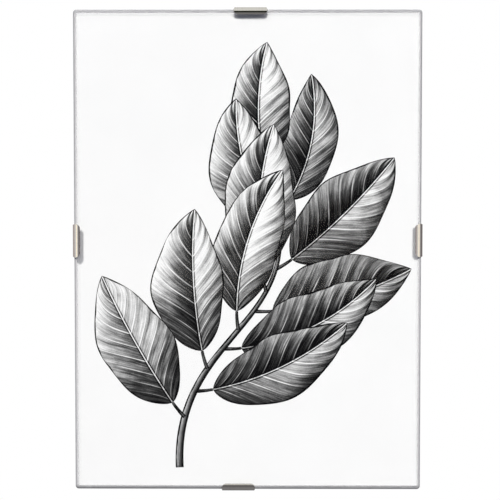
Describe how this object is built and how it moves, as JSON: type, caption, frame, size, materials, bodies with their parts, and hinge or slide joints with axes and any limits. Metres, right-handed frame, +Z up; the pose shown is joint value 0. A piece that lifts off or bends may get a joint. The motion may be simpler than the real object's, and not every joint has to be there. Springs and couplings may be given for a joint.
{
  "type": "clip frame",
  "caption": "Frameless clip frame: glass pane, print and hardboard back held together by bent spring-steel clips that hook into slots in the board and carry keyholes for a nail.",
  "frame": {"origin": "middle of the hanging hole in the top clip's leg, at the middle of the steel", "axes": "+Z up, +X to the right seen from the front, +Y back towards the wall"},
  "size_m": [0.131, 0.0085, 0.1813],
  "materials": {
    "float_glass": "clear float glass with ground, rounded edges",
    "print_paper": null,
    "hardboard": "brown pressed hardboard",
    "nickel_steel": "nickel-plated spring steel"
  },
  "bodies": {
    "panel": {"glass_pane": "float_glass", "print_sheet": "print_paper", "backing_board": "hardboard"},
    "top_clip": {"clip_top": "nickel_steel"},
    "right_clip": {"clip_right": "nickel_steel"},
    "bottom_clip": {"clip_bottom": "nickel_steel"},
    "left_clip": {"clip_left": "nickel_steel"}
  },
  "joints": [
    {"name": "top_clip_lift", "type": "hinge", "parent": "panel", "child": "top_clip", "pos_m": [0, -0.00767, 0.00683], "axis": [1, 0, 0], "range_deg": [0, 20], "stiffness_Nm_per_rad": 0.005, "springref_deg": -11.46},
    {"name": "right_clip_lift", "type": "hinge", "parent": "panel", "child": "right_clip", "pos_m": [0.06181, -0.00767, -0.07735], "axis": [0, 0, -1], "range_deg": [0, 20], "stiffness_Nm_per_rad": 0.005, "springref_deg": -11.46},
    {"name": "bottom_clip_lift", "type": "hinge", "parent": "panel", "child": "bottom_clip", "pos_m": [-0.0046, -0.00767, -0.16936], "axis": [-1, 0, 0], "range_deg": [0, 20], "stiffness_Nm_per_rad": 0.005, "springref_deg": -11.46},
    {"name": "left_clip_lift", "type": "hinge", "parent": "panel", "child": "left_clip", "pos_m": [-0.06401, -0.00767, -0.07755], "axis": [0, 0, 1], "range_deg": [0, 20], "stiffness_Nm_per_rad": 0.005, "springref_deg": -11.46}
  ]
}
